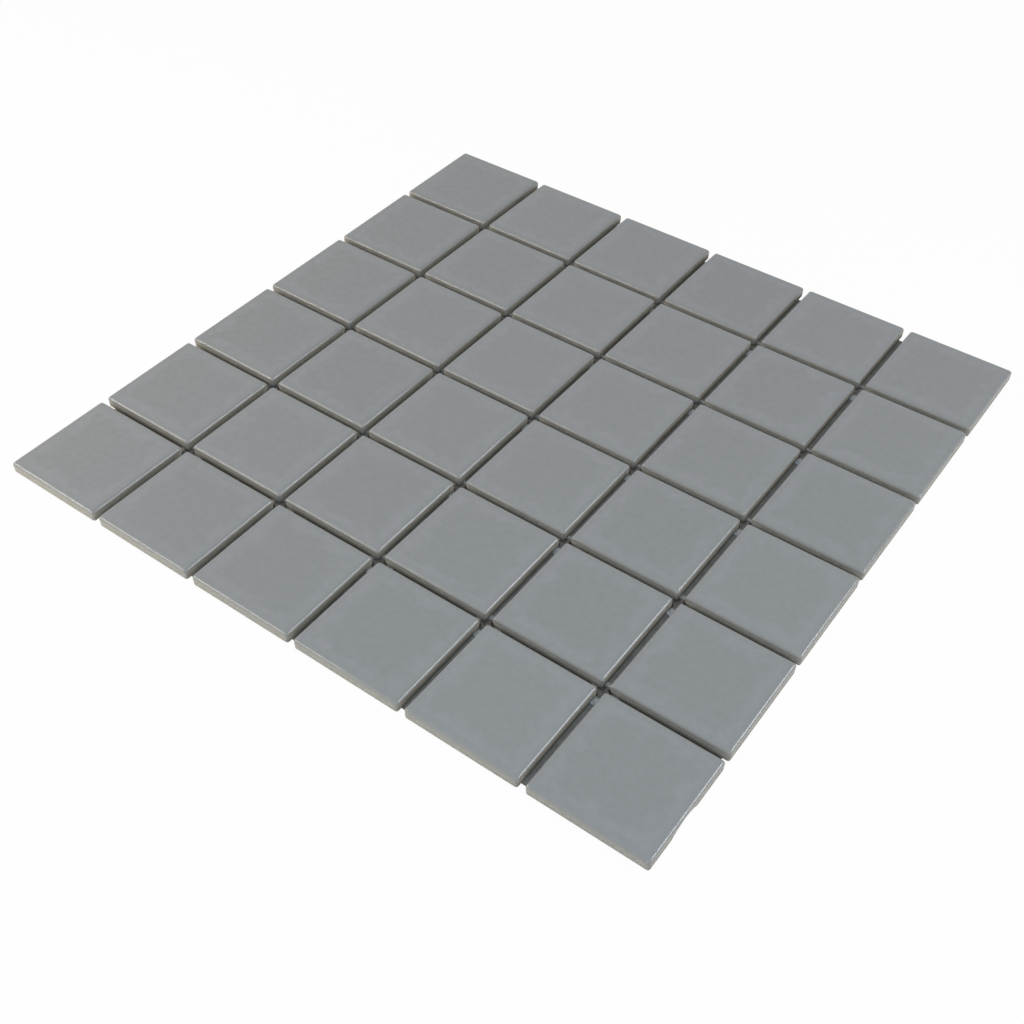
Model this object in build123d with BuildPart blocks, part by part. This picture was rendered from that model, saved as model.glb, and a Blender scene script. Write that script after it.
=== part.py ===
"""Mosaic sheet: small square porcelain tiles held at an even joint by glue dots on their backs.

Millimetres. The sheet lies face up on the plane z = 0 with its middle on the Z axis. A row runs
along X, rows are counted along +Y and columns along +X.
"""

import os
from math import radians, tan

from build123d import *

# Sheet
ROWS = 6
COLUMNS = 6
JOINT = 2.8  # open joint between two tiles, at the rim

# Tile
TILE = 48.2  # side, measured at the foot of the rounded rim
THICK = 5.0
RIM = 1.5  # round where the face turns down into the sides
DRAFT = 2.0  # slope of the sides in degrees, which frees the tile from its die
CORNER = 1.2  # cut that blunts the upright corners

# Keys pressed into the back for the adhesive
KEYS = 3
KEY_WIDTH = 6.0
KEY_DEPTH = 0.5
KEY_MARGIN = 6.5  # plain border of the back around the keys

# Glue dot
DOT = 12.0  # diameter of the pad under the four tile corners
PAD = 0.7  # thickness of the pad, which carries the tiles clear of the floor
RISE = 1.3  # how far the glue stands up in the joint, above the backs
PLUG = 11.0  # length of the cross of glue that stands in the two joints
DOT_GAP = 0.1  # room between the cross and the sides of the tiles

# Flake broken off the foot of the corner tile's outer side
CHIPPED_ROW = 1
CHIPPED_COLUMN = 6
CHIP_PLACE = 22.0  # its middle, from the near edge of the tile
CHIP_LENGTH = 18.0  # along the side, at the back of the tile
CHIP_DEPTH = 1.5  # how far it goes in, at the back of the tile
CHIP_HEIGHT = 3.2  # how far it runs up the side

pitch = TILE + JOINT
side_height = THICK - RIM
slope = tan(radians(DRAFT))
back = TILE - 2 * side_height * slope
key_length = back - 2 * KEY_MARGIN
key_pitch = (key_length - KEY_WIDTH) / (KEYS - 1)
plug_width = JOINT + 2 * (side_height - RISE) * slope - 2 * DOT_GAP
chip_radius = CHIP_LENGTH**2 / (8 * CHIP_DEPTH) + CHIP_DEPTH / 2
chip_foot = (back / 2 - CHIP_DEPTH, CHIP_PLACE - TILE / 2, PAD)
chip_run = Vector(CHIP_DEPTH + CHIP_HEIGHT * slope, 0, CHIP_HEIGHT)


def grid_place(index, count):
    """Distance of one row, column or joint from the middle of a run of count of them."""
    return (index - (count - 1) / 2) * pitch


# One tile: the same section both ways, standing on the pads of its dots
with BuildPart() as tile:
    for section_plane, mode in ((Plane.XZ, Mode.ADD), (Plane.YZ, Mode.INTERSECT)):
        with BuildSketch(section_plane.shift_origin((0, 0, PAD))):
            with BuildLine():
                Polyline((0, THICK), (0, 0), (back / 2, 0), (TILE / 2, side_height))
                RadiusArc((TILE / 2, side_height), (TILE / 2 - RIM, THICK), -RIM)
                Line((TILE / 2 - RIM, THICK), (0, THICK))
            make_face()
            mirror(about=Plane.YZ)
        extrude(amount=TILE / 2, both=True, mode=mode)
    with BuildSketch(Plane.XY.offset(PAD)) as outline:
        Rectangle(TILE, TILE)
        chamfer(outline.vertices(), CORNER)
    extrude(amount=THICK, mode=Mode.INTERSECT)
    with BuildSketch(Plane.XY.offset(PAD)):
        with GridLocations(key_pitch, 0, KEYS, 1):
            Rectangle(KEY_WIDTH, key_length)
    extrude(amount=KEY_DEPTH, mode=Mode.SUBTRACT)

# The corner tile: a shell-shaped hollow where the flake came off, leaning out to end on the side
with BuildPart() as chipped_tile:
    add(tile.part)
    with BuildSketch(Plane(chip_foot, chip_run.cross(Vector(0, -1, 0)), chip_run)):
        with Locations((chip_radius, 0)):
            Circle(chip_radius)
    extrude(amount=2 * CHIP_HEIGHT, both=True, mode=Mode.SUBTRACT)

# One glue dot: a flat round pad, and the cross of glue that came up between the tiles
with BuildPart() as dot:
    with BuildSketch():
        Circle(DOT / 2)
    extrude(amount=PAD)
    with BuildSketch(Plane.XY.offset(PAD)):
        Rectangle(PLUG, plug_width)
        Rectangle(plug_width, PLUG)
    extrude(amount=RISE)

os.makedirs("parts", exist_ok=True)

for row in range(ROWS):
    for column in range(COLUMNS):
        is_chipped = (row + 1, column + 1) == (CHIPPED_ROW, CHIPPED_COLUMN)
        with BuildPart() as placed_tile:
            with Locations((grid_place(column, COLUMNS), grid_place(row, ROWS))):
                add(chipped_tile.part if is_chipped else tile.part)
        name = f"tile_row{row + 1}_col{column + 1}"
        placed_tile.part.label = name
        export_step(placed_tile.part, f"parts/{name}.step")

for line in range(ROWS - 1):
    with BuildPart() as dot_line:
        with Locations((0, grid_place(line, ROWS - 1))):
            with GridLocations(pitch, 0, COLUMNS - 1, 1):
                add(dot.part)
    name = f"glue_dots_line{line + 1}"
    dot_line.part.label = name
    export_step(dot_line.part, f"parts/{name}.step")
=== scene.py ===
"""Looks of the porcelain mosaic sheet: satin grey tiles with bare buff sides, on clear glue dots.

Metres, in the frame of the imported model: the sheet lies face up at z = 0, a row runs along X and
rows are counted along +Y. Each tile and each line of dots takes its place from its CAD node.
"""

from math import atan, radians, tan
from random import Random

import bmesh
import bpy
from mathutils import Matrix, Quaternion, Vector


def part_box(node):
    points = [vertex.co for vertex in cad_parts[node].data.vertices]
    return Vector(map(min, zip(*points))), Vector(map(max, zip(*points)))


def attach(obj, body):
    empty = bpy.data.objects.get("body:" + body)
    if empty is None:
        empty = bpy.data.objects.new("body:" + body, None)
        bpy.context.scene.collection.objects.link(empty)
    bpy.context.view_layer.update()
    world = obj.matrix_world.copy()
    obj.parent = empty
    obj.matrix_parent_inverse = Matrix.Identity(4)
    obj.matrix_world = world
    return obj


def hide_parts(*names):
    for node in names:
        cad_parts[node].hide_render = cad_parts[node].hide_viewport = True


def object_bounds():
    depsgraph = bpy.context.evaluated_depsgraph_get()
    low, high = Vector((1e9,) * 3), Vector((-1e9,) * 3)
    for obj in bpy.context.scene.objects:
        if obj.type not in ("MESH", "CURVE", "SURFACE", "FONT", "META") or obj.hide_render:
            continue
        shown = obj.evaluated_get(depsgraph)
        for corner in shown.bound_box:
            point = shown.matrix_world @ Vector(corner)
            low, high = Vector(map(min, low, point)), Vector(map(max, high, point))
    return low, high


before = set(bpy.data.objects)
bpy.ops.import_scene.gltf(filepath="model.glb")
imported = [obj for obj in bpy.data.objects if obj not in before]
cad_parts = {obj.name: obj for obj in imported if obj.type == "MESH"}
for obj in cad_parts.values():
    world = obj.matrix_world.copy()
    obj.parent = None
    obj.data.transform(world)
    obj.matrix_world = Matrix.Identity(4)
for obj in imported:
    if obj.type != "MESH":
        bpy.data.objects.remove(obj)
cad_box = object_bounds()

MM = 0.001
SLACK = 0.01 * MM  # how near two levels of a mesh count as one


def corners(node):
    """Lowest and highest corner of a node."""
    low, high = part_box(node)
    return Vector(low), Vector(high)


# The sheet, from the frame
TILE_NODES = sorted(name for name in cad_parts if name.startswith("tile_"))
DOT_NODES = sorted(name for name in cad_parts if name.startswith("glue_dots_"))
tile_low, tile_high = corners("tile_row1_col1")
next_low, _ = corners("tile_row1_col2")
_, dot_high = corners(DOT_NODES[0])
tile_side = tile_high.x - tile_low.x
tile_back = tile_low.z
tile_face = tile_high.z
pitch = next_low.x - tile_low.x
joint = pitch - tile_side

# Shape of a tile
RIM = 1.5 * MM  # round where the face turns down into the sides
RIM_STEPS = 8
DRAFT = radians(2.0)
CORNER = 0.9 * MM  # round of the upright corners
CORNER_STEPS = 5
FOOT = 0.12 * MM  # blunt edge round the back
FOOT_STEPS = 2
# Steps of the low crown: how far in from the edge each starts, and its rise
CROWN = ((2.0 * MM, 0.03 * MM), (3.2 * MM, 0.03 * MM), (5.2 * MM, 0.02 * MM), (9.1 * MM, 0.01 * MM))
GRID = (0.0, 4.5 * MM, 9.0 * MM)  # further cuts that let the face bend, from its middle
KEYS = 3
KEY_WIDTH = 6.0 * MM
KEY_DEPTH = 0.5 * MM
KEY_MARGIN = 6.5 * MM
KEY_SLOPE = 0.4 * MM  # how far the walls of a key lean in
SMOOTH_ANGLE = radians(40)  # sharper edges stay sharp in the shading

# How a laid tile is out of true
SEED = 36
PLAY = 0.1 * MM  # a laid tile is this much smaller than its place
LIFT = 0.04 * MM  # and its face this much lower
TURN = radians(0.1)
TILT = radians(0.08)
WAVE = 0.03 * MM  # unevenness of the fired surface
WAVE_SIZE = 16 * MM

# Flake broken off the foot of one tile
CHIPPED_NODE = "tile_row1_col6"
CHIP_PLACE = 22.0 * MM  # its middle, from the near edge of the tile
CHIP_LENGTH = 18.0 * MM
CHIP_DEPTH = 1.5 * MM
CHIP_HEIGHT = 3.2 * MM
CHIP_SIDES = 360  # of the cylinder that cuts it, fine enough to take the roughness
CHIP_GRAIN = 0.5 * MM  # step of the broken face's mesh
CHIP_GRAINS_BELOW = 3  # steps that reach below the back
CHIP_ROUGH = 0.3 * MM
CHIP_ROUGH_SIZE = 1.5 * MM

# Glue dots
DOT = 12.0 * MM
DOT_REACH = 5.4 * MM  # how far a dot runs along each joint from the crossing
DOT_CORE = 2.1 * MM  # radius of the glue between the rounded corners of four tiles
DOT_GAP = 0.1 * MM
DOT_SIDES = 64
DOT_RINGS = 32
CORE_SIDES = 48
DOT_GRAIN = 0.25 * MM  # fineness of the drop's mesh
DOT_SMOOTHING = {"factor": 0.5, "iterations": 5}

# Tones of the porcelain, as linear colours
GLAZE_DEEP = (0.216, 0.229, 0.232)
GLAZE_PALE = (0.227, 0.240, 0.243)
GLAZE_SHEEN = (0.282, 0.295, 0.316)  # painted sheen, a paler and bluer border of the face
GLAZE_THIN = (0.315, 0.285, 0.232)  # where the buff body shows through
GLAZE_SPECK = (0.12, 0.12, 0.12)
BODY_DEEP = (0.345, 0.327, 0.284)
BODY_PALE = (0.415, 0.398, 0.351)
BODY_PATCH = 1.0 * MM

# Lower edge of the glaze on the sides
GLAZE_DROP = 1.9 * MM  # how far the glaze comes down
GLAZE_WANDER = 0.5 * MM
GLAZE_WANDER_SIZE = 6.0 * MM
GLAZE_BLUR = 0.1 * MM
GLAZE_LIP = 0.1 * MM  # thickness of the glaze there

# Painted sheen, a paler border of the face, as distances in from the edge
SHEEN_BORDER = (5.0 * MM, 12.0 * MM)  # full up to the first, gone at the second
SHEEN_BORDER_START = (1.5 * MM, 4.5 * MM)  # faint up to the first, full from the second
SHEEN_BORDER_START_SHARE = 0.2
SHEEN_BORDER_SHARE = 0.32
SHEEN_BORDER_WANDER = 5.0 * MM
SHEEN_BORDER_WANDER_SIZE = 7.0 * MM

# Other variation of the glaze
THIN_DEPTH = (1.6 * MM, 0.05 * MM)  # below the face: thinnest from the first, whole at the second
THIN_SHARE = 0.7
CLOUD_SIZE = 3.0 * MM
CLOUD_SHARE = 0.2
SPECK_SIZE = 0.9 * MM
SPECK_RANGE = (0.70, 0.76)  # of the noise, so that only its peaks become specks
SPECK_SHARE = 0.5

# Gloss and fine relief of the porcelain
GLAZE_SHADER = {"Specular IOR Level": 0.1, "Coat IOR": 1.7, "Coat Roughness": 0.12}
GLAZE_COAT = 0.6
GLAZE_ROUGHNESS = (0.3, 0.38)
GLAZE_ROUGHNESS_SIZE = 2.5 * MM
BODY_ROUGHNESS = 0.85
PEEL = 0.004 * MM
PEEL_SIZE = 1.4 * MM
GRAIN = 0.03 * MM
GRAIN_SIZE = 0.5 * MM
RELIEF_RANGE = (0.2, 0.8)  # of the noise, which leaves few flat spots

# Glue
GLUE_SHADER = {"Transmission Weight": 0.45, "IOR": 1.48}
GLUE_CLEAR = (0.07, 0.066, 0.057)
# Milk-white glue in the pad; along the joints away from the crossing its pale tone is partly a painted glint
GLUE_MILKY_AND_GLINT = (0.86, 0.87, 0.86)
GLUE_CLOUD = (0.2, 0.2, 0.19)
GLUE_CLOUD_SIZE = 1.5 * MM
GLUE_CLOUD_SHARE = 0.4
GLUE_CLEAR_TO_GLINT_REACH = (2.6 * MM, 4.0 * MM)  # from the crossing: clear up to the first, milk-white from the second, there partly a painted glint
GLUE_ROUGHNESS = (0.04, 0.12)
GLUE_ROUGHNESS_SIZE = 1.0 * MM
GLUE_RELIEF = 0.12 * MM
GLUE_RELIEF_SIZE = 1.2 * MM

# Stage
FLOOR_SIZE = 20.0
FLOOR_DROP = 0.4 * MM  # the floor lies this far below the sheet
FLOOR_TONES = ((0.82, 0.82, 0.82), (0.84, 0.84, 0.84))
FLOOR_PATCH = 0.2
FLOOR_GLOW = 0.96  # share of plain white in what the camera sees of the floor
CARD_MARGIN = 3.0 * MM  # how far the card stays inside the edge of the sheet
CARD_DROP = 0.1 * MM
# Dark tones of the card: a painted shade for the bottom of the joints, the only place it shows; the lamps
# shade it as well
SHADE_CARD_TONES = ((0.2, 0.193, 0.172), (0.26, 0.25, 0.225))
CARD_PATCH = 3.0 * MM
STAGE_ROUGHNESS = 0.9
ROOM_COLOUR = (0.98, 0.99, 1.0)
ROOM_STRENGTH = 0.25
WHITE = (1.0, 1.0, 1.0)

# Camera, from the corners of the sheet in the photograph
CAMERA_PLACE = Vector((238.0, -358.2, 380.8)) * MM
CAMERA_TARGET = Vector((19.2, -54.7, 5.7)) * MM
CAMERA_ROLL = radians(0.902)
CAMERA_LENS = 47.38
CAMERA_SENSOR = 36.0
CAMERA_SHIFT = (0.0184, -0.0051)


# Modelling tools

def start(name):
    """Names the primitive that was just added and puts its place and size into its mesh."""
    piece = bpy.context.object
    piece.name = name
    bpy.ops.object.transform_apply(location=True, rotation=True, scale=True)
    return piece


def clear_selection():
    bpy.ops.object.select_all(action="DESELECT")


def choose(piece):
    """Makes one piece the only selected and active one."""
    clear_selection()
    piece.select_set(True)
    bpy.context.view_layer.objects.active = piece


def open_mesh(piece):
    choose(piece)
    bpy.ops.object.mode_set(mode="EDIT")


def close_mesh():
    bpy.ops.object.mode_set(mode="OBJECT")


def pick(piece, kind, wanted):
    """Selects only those verts, edges or faces of the open mesh that are wanted."""
    bpy.ops.mesh.select_mode(type=kind)
    bpy.ops.mesh.select_all(action="DESELECT")
    mesh = bmesh.from_edit_mesh(piece.data)
    lists = {"VERT": mesh.verts, "EDGE": mesh.edges, "FACE": mesh.faces}
    for element in lists[kind]:
        if wanted(element):
            element.select_set(True)
    mesh.select_flush_mode()
    bmesh.update_edit_mesh(piece.data)


def cut_across(axis, place):
    """Cuts the whole open mesh by a plane that is square to the axis."""
    point = Vector((0, 0, 0))
    normal = Vector((0, 0, 0))
    point[axis] = place
    normal[axis] = 1
    bpy.ops.mesh.select_all(action="SELECT")
    bpy.ops.mesh.bisect(plane_co=point, plane_no=normal)


def apply_modifier(piece, kind, **settings):
    choose(piece)
    modifier = piece.modifiers.new(kind.lower(), kind)
    for key, value in settings.items():
        setattr(modifier, key, value)
    bpy.ops.object.modifier_apply(modifier=modifier.name)


def roughen(piece, texture, strength, mid_level=0.5):
    """Pushes the surface in and out by a texture that is fixed to the sheet."""
    apply_modifier(
        piece, "DISPLACE", texture=texture, texture_coords="LOCAL", strength=strength, mid_level=mid_level
    )


def cut_with(piece, operation, tool):
    """Joins, cuts or trims a piece with another one, which is used up."""
    apply_modifier(piece, "BOOLEAN", object=tool, operation=operation, solver="EXACT")
    remove(tool)


def copy_of(piece, name):
    """A copy with its own mesh, selected and active."""
    choose(piece)
    bpy.ops.object.duplicate()
    copy = bpy.context.object
    copy.name = name
    return copy


def remove(piece):
    bpy.data.objects.remove(piece, do_unlink=True)


def clouds(name, size):
    texture = bpy.data.textures.new(name, "CLOUDS")
    texture.noise_scale = size
    return texture


def finish_piece(piece, material, node):
    """Gives a piece its finish and puts it in the place of its node."""
    piece.data.materials.clear()
    piece.data.materials.append(material)
    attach(piece, "root")
    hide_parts(node)


# Tiles

def on_level(element, level):
    return all(abs(vert.co.z - level) < SLACK for vert in element.verts)


def model_tile():
    """One tile in the middle of the sheet: drafted sides, rounded rim, low crown, keyed back."""
    shoulder = tile_face - LIFT - sum(rise for _, rise in CROWN)
    height = shoulder - tile_back
    widest = tile_side - PLAY
    face = widest + 2 * RIM * tan(DRAFT)
    back = face - 2 * height * tan(DRAFT)
    clear_selection()
    middle = (0, 0, (tile_back + shoulder) / 2)
    bpy.ops.mesh.primitive_cube_add(size=1, location=middle, scale=(face, face, height))
    tile = start("tile_pattern")

    open_mesh(tile)
    pick(tile, "FACE", lambda f: on_level(f, tile_back))
    bpy.ops.transform.resize(value=(back / face, back / face, 1))
    pick(tile, "EDGE", lambda e: on_level(e, shoulder))
    bpy.ops.mesh.bevel(offset=RIM, segments=RIM_STEPS, affect="EDGES")
    pick(tile, "EDGE", lambda e: e.calc_length() < 2 * height)  # only those at the corners are short
    bpy.ops.mesh.bevel(offset=CORNER, segments=CORNER_STEPS, affect="EDGES")
    pick(tile, "EDGE", lambda e: on_level(e, tile_back))
    bpy.ops.mesh.bevel(offset=FOOT, segments=FOOT_STEPS, affect="EDGES")

    key_length = back - 2 * KEY_MARGIN
    key_pitch = (key_length - KEY_WIDTH) / (KEYS - 1)
    key_middles = [(i - (KEYS - 1) / 2) * key_pitch for i in range(KEYS)]
    rings = [widest / 2 - inward for inward, _ in CROWN]
    cuts = {place for reach in (*rings, *GRID) for place in (-reach, reach)}
    key_sides = {middle + side * KEY_WIDTH / 2 for middle in key_middles for side in (-1, 1)}
    for place in sorted(cuts | key_sides):
        cut_across(0, place)
    for place in sorted(cuts | {-key_length / 2, key_length / 2}):
        cut_across(1, place)

    for ring, (_, rise) in zip(rings, CROWN):
        def in_ring(vert):
            return vert.co.z > shoulder - SLACK and max(abs(vert.co.x), abs(vert.co.y)) < ring + SLACK
        pick(tile, "VERT", in_ring)
        bpy.ops.transform.translate(value=(0, 0, rise))

    def in_key(face):
        place = face.calc_center_median()
        across = min(abs(place.x - middle) for middle in key_middles)
        return on_level(face, tile_back) and across < KEY_WIDTH / 2 and abs(place.y) < key_length / 2

    pick(tile, "FACE", in_key)
    bpy.ops.mesh.inset(thickness=KEY_SLOPE, depth=-KEY_DEPTH)
    close_mesh()
    bpy.ops.object.shade_smooth_by_angle(angle=SMOOTH_ANGLE)
    return tile


def break_flake(tile, middle):
    """Breaks a flake off the foot of a tile's outer side: a rough round hollow that leans outwards."""
    radius = CHIP_LENGTH**2 / (8 * CHIP_DEPTH) + CHIP_DEPTH / 2
    lean = atan(CHIP_DEPTH / CHIP_HEIGHT + tan(DRAFT))
    tall = 4 * CHIP_HEIGHT  # well past the back and the face
    fine = 1.5 * CHIP_HEIGHT  # its rings go up to where it has left the tile
    clear_selection()
    bpy.ops.mesh.primitive_cylinder_add(
        vertices=CHIP_SIDES, radius=radius, depth=tall, location=(radius, 0, 0)
    )
    flake = start("flake")
    open_mesh(flake)
    for step in range(-CHIP_GRAINS_BELOW, round(fine / CHIP_GRAIN)):
        cut_across(2, step * CHIP_GRAIN)
    close_mesh()
    roughen(flake, clouds("broken_face", CHIP_ROUGH_SIZE), CHIP_ROUGH)
    foot = (tile_side - PLAY) / 2 - (tile_face - tile_back - RIM) * tan(DRAFT)
    choose(flake)
    flake.rotation_euler = (0, lean, 0)
    flake.location = (middle.x + foot - CHIP_DEPTH, middle.y - tile_side / 2 + CHIP_PLACE, tile_back)
    bpy.ops.object.transform_apply(location=True, rotation=True, scale=True)
    cut_with(tile, "DIFFERENCE", flake)
    choose(tile)
    bpy.ops.object.shade_smooth_by_angle(angle=SMOOTH_ANGLE)


def lay_tiles(pattern, material):
    """A copy of the pattern for each tile node, each a little out of true in its own way."""
    unevenness = clouds("fired_unevenness", WAVE_SIZE)
    chance = Random(SEED)
    for node in TILE_NODES:
        low, high = corners(node)
        middle = (low + high) / 2
        tile = copy_of(pattern, f"glazed_{node}")
        for axis, limit in (("X", TILT), ("Y", TILT), ("Z", TURN)):
            turn = chance.uniform(-limit, limit)
            bpy.ops.transform.rotate(value=turn, orient_axis=axis, center_override=(0, 0, middle.z))
        bpy.ops.transform.translate(value=(middle.x, middle.y, 0))
        bpy.ops.object.transform_apply(location=True, rotation=True, scale=True)
        roughen(tile, unevenness, WAVE, mid_level=1.0)  # inwards only, so that it keeps to its place
        if node == CHIPPED_NODE:
            break_flake(tile, middle)
        finish_piece(tile, material, node)


# Glue dots

def model_dot():
    """One drop of glue: a flat pad under four corners, and a swell that came up the joints."""
    clear_selection()
    bpy.ops.mesh.primitive_cylinder_add(
        vertices=DOT_SIDES, radius=DOT / 2, depth=tile_back, location=(0, 0, tile_back / 2)
    )
    dot = start("dot_pattern")
    width = joint - 2 * DOT_GAP
    base = tile_back / 2
    rise = dot_high.z - base
    for reach in ((DOT_REACH, width), (width, DOT_REACH)):
        clear_selection()
        bpy.ops.mesh.primitive_uv_sphere_add(
            segments=DOT_SIDES, ring_count=DOT_RINGS, radius=1, location=(0, 0, base), scale=(*reach, rise)
        )
        swell = start("swell")
        clear_selection()
        channel_size = [2 * length if length > width else width for length in reach]
        bpy.ops.mesh.primitive_cube_add(size=1, location=(0, 0, rise), scale=(*channel_size, 2 * rise))
        cut_with(swell, "INTERSECT", start("channel"))
        cut_with(dot, "UNION", swell)
    clear_selection()
    bpy.ops.mesh.primitive_cylinder_add(
        vertices=CORE_SIDES, radius=DOT_CORE, depth=rise, location=(0, 0, rise / 2)
    )
    cut_with(dot, "UNION", start("core"))
    apply_modifier(dot, "REMESH", mode="VOXEL", voxel_size=DOT_GRAIN, use_smooth_shade=True)
    apply_modifier(dot, "SMOOTH", **DOT_SMOOTHING)
    return dot


def lay_dots(pattern, material):
    """One piece for each line of dots: copies of the drop, joined."""
    for node in DOT_NODES:
        low, high = corners(node)
        row = (low.y + high.y) / 2
        count = round((high.x - low.x - DOT) / pitch) + 1
        drops = []
        for index in range(count):
            drop = copy_of(pattern, f"clear_{node}")
            place = ((index - (count - 1) / 2) * pitch, row, 0)
            bpy.ops.transform.translate(value=place)
            bpy.ops.object.transform_apply(location=True, rotation=True, scale=True)
            drops.append(drop)
        line = drops[0]
        choose(line)
        for drop in drops:
            drop.select_set(True)
        bpy.ops.object.join()
        finish_piece(line, material, node)


# Material tools

MIX_SOCKETS = {"FLOAT": (2, 3, 0), "RGBA": (6, 7, 2)}  # first, second and result of a Mix node
PATCH_DETAIL = 3
PATCH_RANGE = (0.3, 0.7)  # of the noise, over which a patch comes in


def feed(tree, socket, value):
    """Feeds a socket with another node's output, a number or a colour."""
    if isinstance(value, bpy.types.NodeSocket):
        tree.links.new(value, socket)
    elif isinstance(value, tuple):
        socket.default_value = (*value, 1)
    else:
        socket.default_value = value


def calculate(tree, operation, *values):
    node = tree.nodes.new("ShaderNodeMath")
    node.operation = operation
    for socket, value in zip(node.inputs, values):
        feed(tree, socket, value)
    return node.outputs["Value"]


def mix(tree, kind, share, first, second):
    node = tree.nodes.new("ShaderNodeMix")
    node.data_type = kind
    first_socket, second_socket, result = MIX_SOCKETS[kind]
    feed(tree, node.inputs[0], share)
    feed(tree, node.inputs[first_socket], first)
    feed(tree, node.inputs[second_socket], second)
    return node.outputs[result]


def between(tree, value, low, high, to_low=0.0, to_high=1.0):
    """Maps low to high of a value to another range, smoothly, and holds it outside."""
    node = tree.nodes.new("ShaderNodeMapRange")
    node.interpolation_type = "SMOOTHSTEP"
    numbers = {"Value": value, "From Min": low, "From Max": high, "To Min": to_low, "To Max": to_high}
    for name, number in numbers.items():
        feed(tree, node.inputs[name], number)
    return node.outputs["Result"]


def split_place(tree, place):
    split = tree.nodes.new("ShaderNodeSeparateXYZ")
    feed(tree, split.inputs["Vector"], place)
    return split.outputs


def joint_distances(tree, axes):
    """Distance of a place from the middle of the nearest joint, along X and along Y."""
    return [calculate(tree, "PINGPONG", axes[axis], pitch / 2) for axis in "XY"]


def patches_group():
    """Shared effect: a mask of soft uneven patches, of a given size and strength."""
    group = bpy.data.node_groups.new("patches", "ShaderNodeTree")
    group.interface.new_socket("Place", in_out="INPUT", socket_type="NodeSocketVector")
    for name in ("Size", "Low", "High", "Strength"):
        group.interface.new_socket(name, in_out="INPUT", socket_type="NodeSocketFloat")
    group.interface.new_socket("Mask", in_out="OUTPUT", socket_type="NodeSocketFloat")
    entry = group.nodes.new("NodeGroupInput").outputs
    noise = group.nodes.new("ShaderNodeTexNoise")
    noise.inputs["Detail"].default_value = PATCH_DETAIL
    feed(group, noise.inputs["Vector"], entry["Place"])
    feed(group, noise.inputs["Scale"], calculate(group, "DIVIDE", 1.0, entry["Size"]))
    mask = between(group, noise.outputs["Fac"], entry["Low"], entry["High"], 0.0, entry["Strength"])
    feed(group, group.nodes.new("NodeGroupOutput").inputs["Mask"], mask)
    return group


PATCHES = patches_group()


def patches(tree, place, size, noise_range=PATCH_RANGE, strength=1.0):
    """A mask of patches, nought below the range of the noise and at its full strength above it."""
    node = tree.nodes.new("ShaderNodeGroup")
    node.node_tree = PATCHES
    low, high = noise_range
    numbers = {"Place": place, "Size": size, "Low": low, "High": high, "Strength": strength}
    for name, value in numbers.items():
        feed(tree, node.inputs[name], value)
    return node.outputs["Mask"]


def new_material(name, constants):
    """A material with its node tree, its Principled BSDF and its Object coordinates."""
    material = bpy.data.materials.new(name)
    material.use_nodes = True
    tree = material.node_tree
    shader = tree.nodes["Principled BSDF"]
    for socket, value in constants.items():
        shader.inputs[socket].default_value = value
    place = tree.nodes.new("ShaderNodeTexCoord").outputs["Object"]
    return material, tree, shader, place


def add_relief(tree, shader, height):
    """Bump from a height in millimetres."""
    bump = tree.nodes.new("ShaderNodeBump")
    bump.inputs["Distance"].default_value = MM
    feed(tree, bump.inputs["Height"], height)
    feed(tree, shader.inputs["Normal"], bump.outputs["Normal"])


# Finishes

def tile_draw(tree, place):
    """A chance value from 0 to 1 for each tile of the sheet."""
    corner = tree.nodes.new("ShaderNodeVectorMath")
    corner.operation = "SNAP"
    corner.inputs[1].default_value = (pitch, pitch, pitch)
    feed(tree, corner.inputs[0], place)
    draw = tree.nodes.new("ShaderNodeTexWhiteNoise")
    feed(tree, draw.inputs["Vector"], corner.outputs["Vector"])
    return draw.outputs["Value"]


def glaze_mask(tree, place, height):
    """One where the glaze lies: it runs down the sides to a wandering lower edge."""
    level = calculate(tree, "ADD", patches(tree, place, GLAZE_WANDER_SIZE, strength=GLAZE_WANDER), height)
    edge = tile_face - GLAZE_DROP + GLAZE_WANDER / 2
    return between(tree, level, edge - GLAZE_BLUR, edge + GLAZE_BLUR)


def painted_sheen_border(tree, place, axes):
    """Share of the painted sheen, a paler border a little in from the edges of the face."""
    nearest = calculate(tree, "MINIMUM", *joint_distances(tree, axes))
    inward = calculate(tree, "SUBTRACT", nearest, joint / 2)
    begun = between(tree, inward, *SHEEN_BORDER_START, SHEEN_BORDER_START_SHARE, 1.0)
    wander = patches(tree, place, SHEEN_BORDER_WANDER_SIZE, strength=SHEEN_BORDER_WANDER)
    left = between(tree, calculate(tree, "ADD", wander, inward), *SHEEN_BORDER, SHEEN_BORDER_SHARE, 0.0)
    return calculate(tree, "MULTIPLY", begun, left)


def glaze_tone(tree, place, axes):
    """Grey glaze, with its own tone for each tile, a painted sheen as a paler border, a thin rim, clouds and
    specks.
    """
    tone = mix(tree, "RGBA", tile_draw(tree, place), GLAZE_DEEP, GLAZE_PALE)
    cloud = patches(tree, place, CLOUD_SIZE, strength=CLOUD_SHARE)
    # painted sheen of the border, added to the real clouds in the glaze
    sheen_and_clouds = calculate(tree, "ADD", painted_sheen_border(tree, place, axes), cloud)
    tone = mix(tree, "RGBA", sheen_and_clouds, tone, GLAZE_SHEEN)
    thinnest, whole = (tile_face - depth for depth in THIN_DEPTH)
    thin = between(tree, axes["Z"], thinnest, whole, THIN_SHARE, 0.0)
    tone = mix(tree, "RGBA", thin, tone, GLAZE_THIN)
    specks = patches(tree, place, SPECK_SIZE, SPECK_RANGE, SPECK_SHARE)
    return mix(tree, "RGBA", specks, tone, GLAZE_SPECK)


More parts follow.
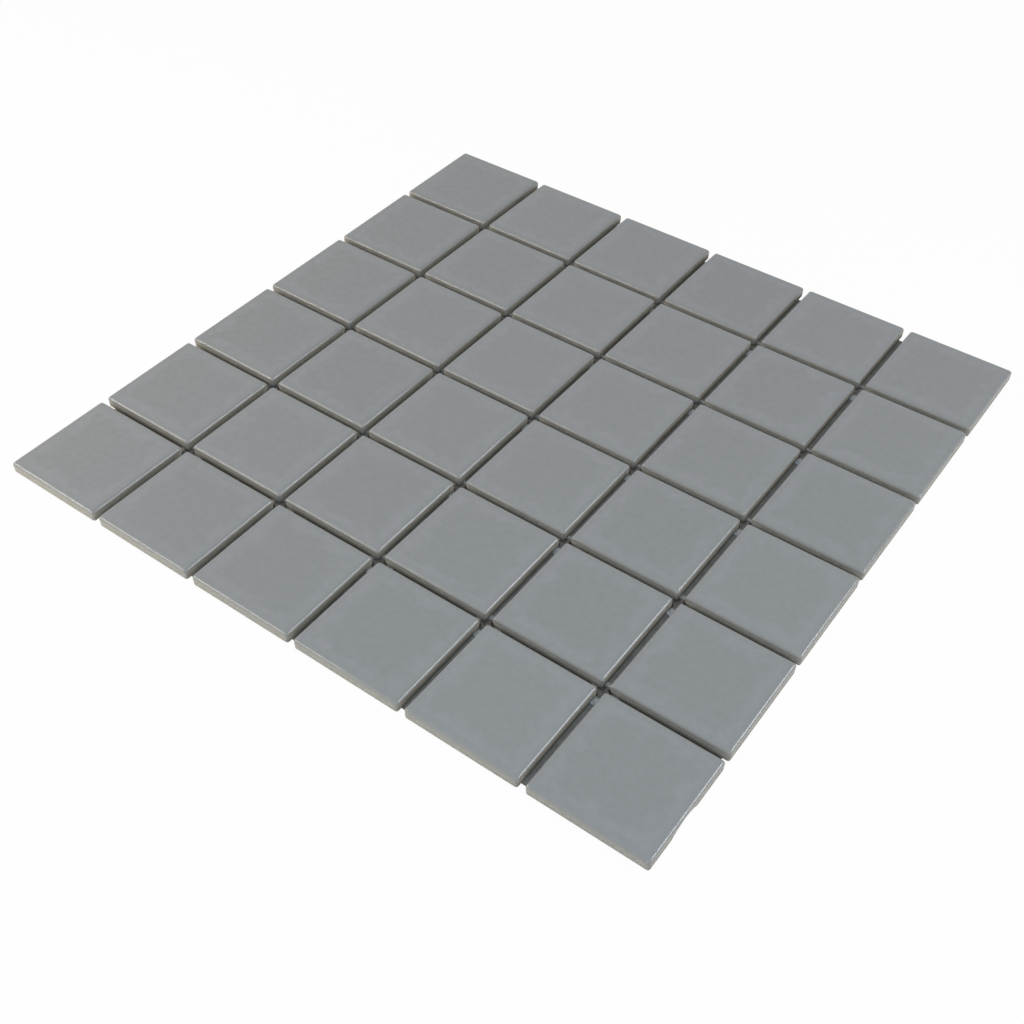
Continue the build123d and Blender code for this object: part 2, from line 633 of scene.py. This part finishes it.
def porcelain():
    """Satin grey glaze over the face and rim, bare buff body below it."""
    material, tree, shader, place = new_material("glazed_porcelain", GLAZE_SHADER)
    axes = split_place(tree, place)
    glazed = glaze_mask(tree, place, axes["Z"])
    body = mix(tree, "RGBA", patches(tree, place, BODY_PATCH), BODY_DEEP, BODY_PALE)
    tone = mix(tree, "RGBA", glazed, body, glaze_tone(tree, place, axes))
    feed(tree, shader.inputs["Base Color"], tone)

    feed(tree, shader.inputs["Coat Weight"], calculate(tree, "MULTIPLY", glazed, GLAZE_COAT))
    satin = mix(tree, "FLOAT", patches(tree, place, GLAZE_ROUGHNESS_SIZE), *GLAZE_ROUGHNESS)
    feed(tree, shader.inputs["Roughness"], mix(tree, "FLOAT", glazed, BODY_ROUGHNESS, satin))
    peel = patches(tree, place, PEEL_SIZE, RELIEF_RANGE, PEEL / MM)
    peel = calculate(tree, "ADD", peel, GLAZE_LIP / MM)
    grain = patches(tree, place, GRAIN_SIZE, RELIEF_RANGE, GRAIN / MM)
    add_relief(tree, shader, mix(tree, "FLOAT", glazed, grain, peel))
    return material


def clear_glue():
    """Soft clear glue with a wet gloss, milk-white in the pad and along the joints, where the pale tone is
    partly a painted glint.
    """
    material, tree, shader, place = new_material("clear_glue", GLUE_SHADER)
    axes = split_place(tree, place)
    squares = [calculate(tree, "POWER", side, 2.0) for side in joint_distances(tree, axes)]
    reach = calculate(tree, "SQRT", calculate(tree, "ADD", *squares))
    # partly a painted glint: the glue turns pale along the joints away from the crossing
    glint_arms = between(tree, reach, *GLUE_CLEAR_TO_GLINT_REACH)
    pad = between(tree, axes["Z"], tile_back / 2, tile_back, 1.0, 0.0)
    milky_and_glint = calculate(tree, "MAXIMUM", glint_arms, pad)
    tone = mix(tree, "RGBA", milky_and_glint, GLUE_CLEAR, GLUE_MILKY_AND_GLINT)
    cloud = patches(tree, place, GLUE_CLOUD_SIZE, strength=GLUE_CLOUD_SHARE)
    feed(tree, shader.inputs["Base Color"], mix(tree, "RGBA", cloud, tone, GLUE_CLOUD))
    gloss = mix(tree, "FLOAT", patches(tree, place, GLUE_ROUGHNESS_SIZE), *GLUE_ROUGHNESS)
    feed(tree, shader.inputs["Roughness"], gloss)
    add_relief(tree, shader, patches(tree, place, GLUE_RELIEF_SIZE, RELIEF_RANGE, GLUE_RELIEF / MM))
    return material


# Stage

def seen_directly(tree):
    """One for rays from the camera, from a mirror or through glass, else nought."""
    path = tree.nodes.new("ShaderNodeLightPath").outputs
    mirrored = calculate(tree, "MAXIMUM", path["Is Glossy Ray"], path["Is Transmission Ray"])
    return calculate(tree, "MAXIMUM", path["Is Camera Ray"], mirrored)


def mix_shaders(tree, share, first, second, output):
    blend = tree.nodes.new("ShaderNodeMixShader")
    for socket, value in zip(blend.inputs, (share, first, second)):
        feed(tree, socket, value)
    feed(tree, tree.nodes[output].inputs["Surface"], blend.outputs["Shader"])


def level_plane(name, finish, size, drop, tones, patch):
    """A plane below the sheet, in two soft tones of one colour."""
    clear_selection()
    bpy.ops.mesh.primitive_plane_add(size=size, location=(0, 0, -drop))
    plane = start(name)
    material, tree, shader, place = new_material(finish, {"Roughness": STAGE_ROUGHNESS})
    feed(tree, shader.inputs["Base Color"], mix(tree, "RGBA", patches(tree, place, patch), *tones))
    plane.data.materials.append(material)
    return plane, tree, shader


def stage():
    """White floor, and a dark card under the sheet that shows only through the joints, where its dark tone
    is a painted shade for them and the lamps shade it as well.
    """
    floor, tree, shader = level_plane(
        "floor", "white_floor", FLOOR_SIZE, FLOOR_DROP, FLOOR_TONES, FLOOR_PATCH
    )
    glow = tree.nodes.new("ShaderNodeEmission").outputs["Emission"]
    share = calculate(tree, "MULTIPLY", seen_directly(tree), FLOOR_GLOW)
    mix_shaders(tree, share, shader.outputs["BSDF"], glow, "Material Output")

    span = cad_box[1][0] - cad_box[0][0] - 2 * CARD_MARGIN
    # painted shade: the dark card at the bottom of the joints
    card, _, _ = level_plane("card", "shade_card", span, CARD_DROP, SHADE_CARD_TONES, CARD_PATCH)


def softbox(name, place, aim, size, power, colour, mirrored=True, spread=radians(180)):
    """An area lamp in watts. One that isn't mirrored lights the sheet but doesn't show in its gloss."""
    lamp = bpy.data.lights.new(name, "AREA")
    lamp.shape = "RECTANGLE"
    lamp.size, lamp.size_y = size
    lamp.energy = power
    lamp.color = colour
    lamp.spread = spread
    holder = bpy.data.objects.new(name, lamp)
    bpy.context.collection.objects.link(holder)
    holder.location = place
    holder.rotation_euler = (Vector(aim) - Vector(place)).to_track_quat("-Z", "Y").to_euler()
    holder.visible_glossy = mirrored
    holder.visible_camera = False


def light_room():
    """A dim even room that shows as plain white where it is seen or mirrored."""
    world = bpy.data.worlds.new("studio")
    bpy.context.scene.world = world
    world.use_nodes = True
    tree = world.node_tree
    room = tree.nodes["Background"]
    feed(tree, room.inputs["Color"], ROOM_COLOUR)
    room.inputs["Strength"].default_value = ROOM_STRENGTH
    backdrop = tree.nodes.new("ShaderNodeBackground")
    feed(tree, backdrop.inputs["Color"], WHITE)
    mix_shaders(
        tree, seen_directly(tree), room.outputs["Background"], backdrop.outputs["Background"], "World Output"
    )


def light_sheet():
    """Warm lamps for the near sides, one for the right rims, fills for the faces, and one above."""
    softbox(
        "front_strip", place=(-0.52, -0.54, 0.31), aim=(-0.1, -0.1, 0), size=(0.6, 0.1),
        power=2.6, colour=(1.0, 0.94, 0.84),
    )
    softbox(
        "front_low", place=(-0.6, -0.6, 0.05), aim=(-0.08, -0.15, 0), size=(0.7, 0.08),
        power=1.1, colour=(1.0, 0.96, 0.9), mirrored=False,
    )
    softbox(
        "right", place=(0.71, 0.29, 0.40), aim=(0.1, -0.25, 0), size=(0.5, 0.28),
        power=1.02, colour=(0.98, 0.99, 1.0), spread=radians(100),
    )
    softbox(
        "left_fill", place=(-0.45, -0.16, 0.26), aim=(-0.12, -0.08, 0), size=(0.4, 0.2),
        power=0.38, colour=(1.0, 0.68, 0.42), mirrored=False,
    )
    softbox(
        "near_fill", place=(0.24, -0.72, 0.58), aim=(0.1, -0.1, 0), size=(0.14, 0.14),
        power=1.4, colour=(0.32, 0.66, 1.0),
    )
    softbox(
        "above", place=(0.25, -0.2, 1.12), aim=(0, 0, 0), size=(1.3, 1.3),
        power=5.4, colour=(0.972, 0.99, 1.0), mirrored=False,
    )


def camera():
    lens = bpy.data.cameras.new("camera")
    lens.lens = CAMERA_LENS
    lens.sensor_width = CAMERA_SENSOR
    lens.shift_x, lens.shift_y = CAMERA_SHIFT
    holder = bpy.data.objects.new("camera", lens)
    bpy.context.collection.objects.link(holder)
    holder.location = CAMERA_PLACE
    aim = (CAMERA_TARGET - CAMERA_PLACE).to_track_quat("-Z", "Y")
    holder.rotation_euler = (aim @ Quaternion((0, 0, 1), CAMERA_ROLL)).to_euler()
    bpy.context.scene.camera = holder


tile_pattern = model_tile()
lay_tiles(tile_pattern, porcelain())
remove(tile_pattern)
dot_pattern = model_dot()
lay_dots(dot_pattern, clear_glue())
remove(dot_pattern)
stage()
light_room()
light_sheet()
camera()
bpy.context.scene.view_settings.view_transform = "Standard"
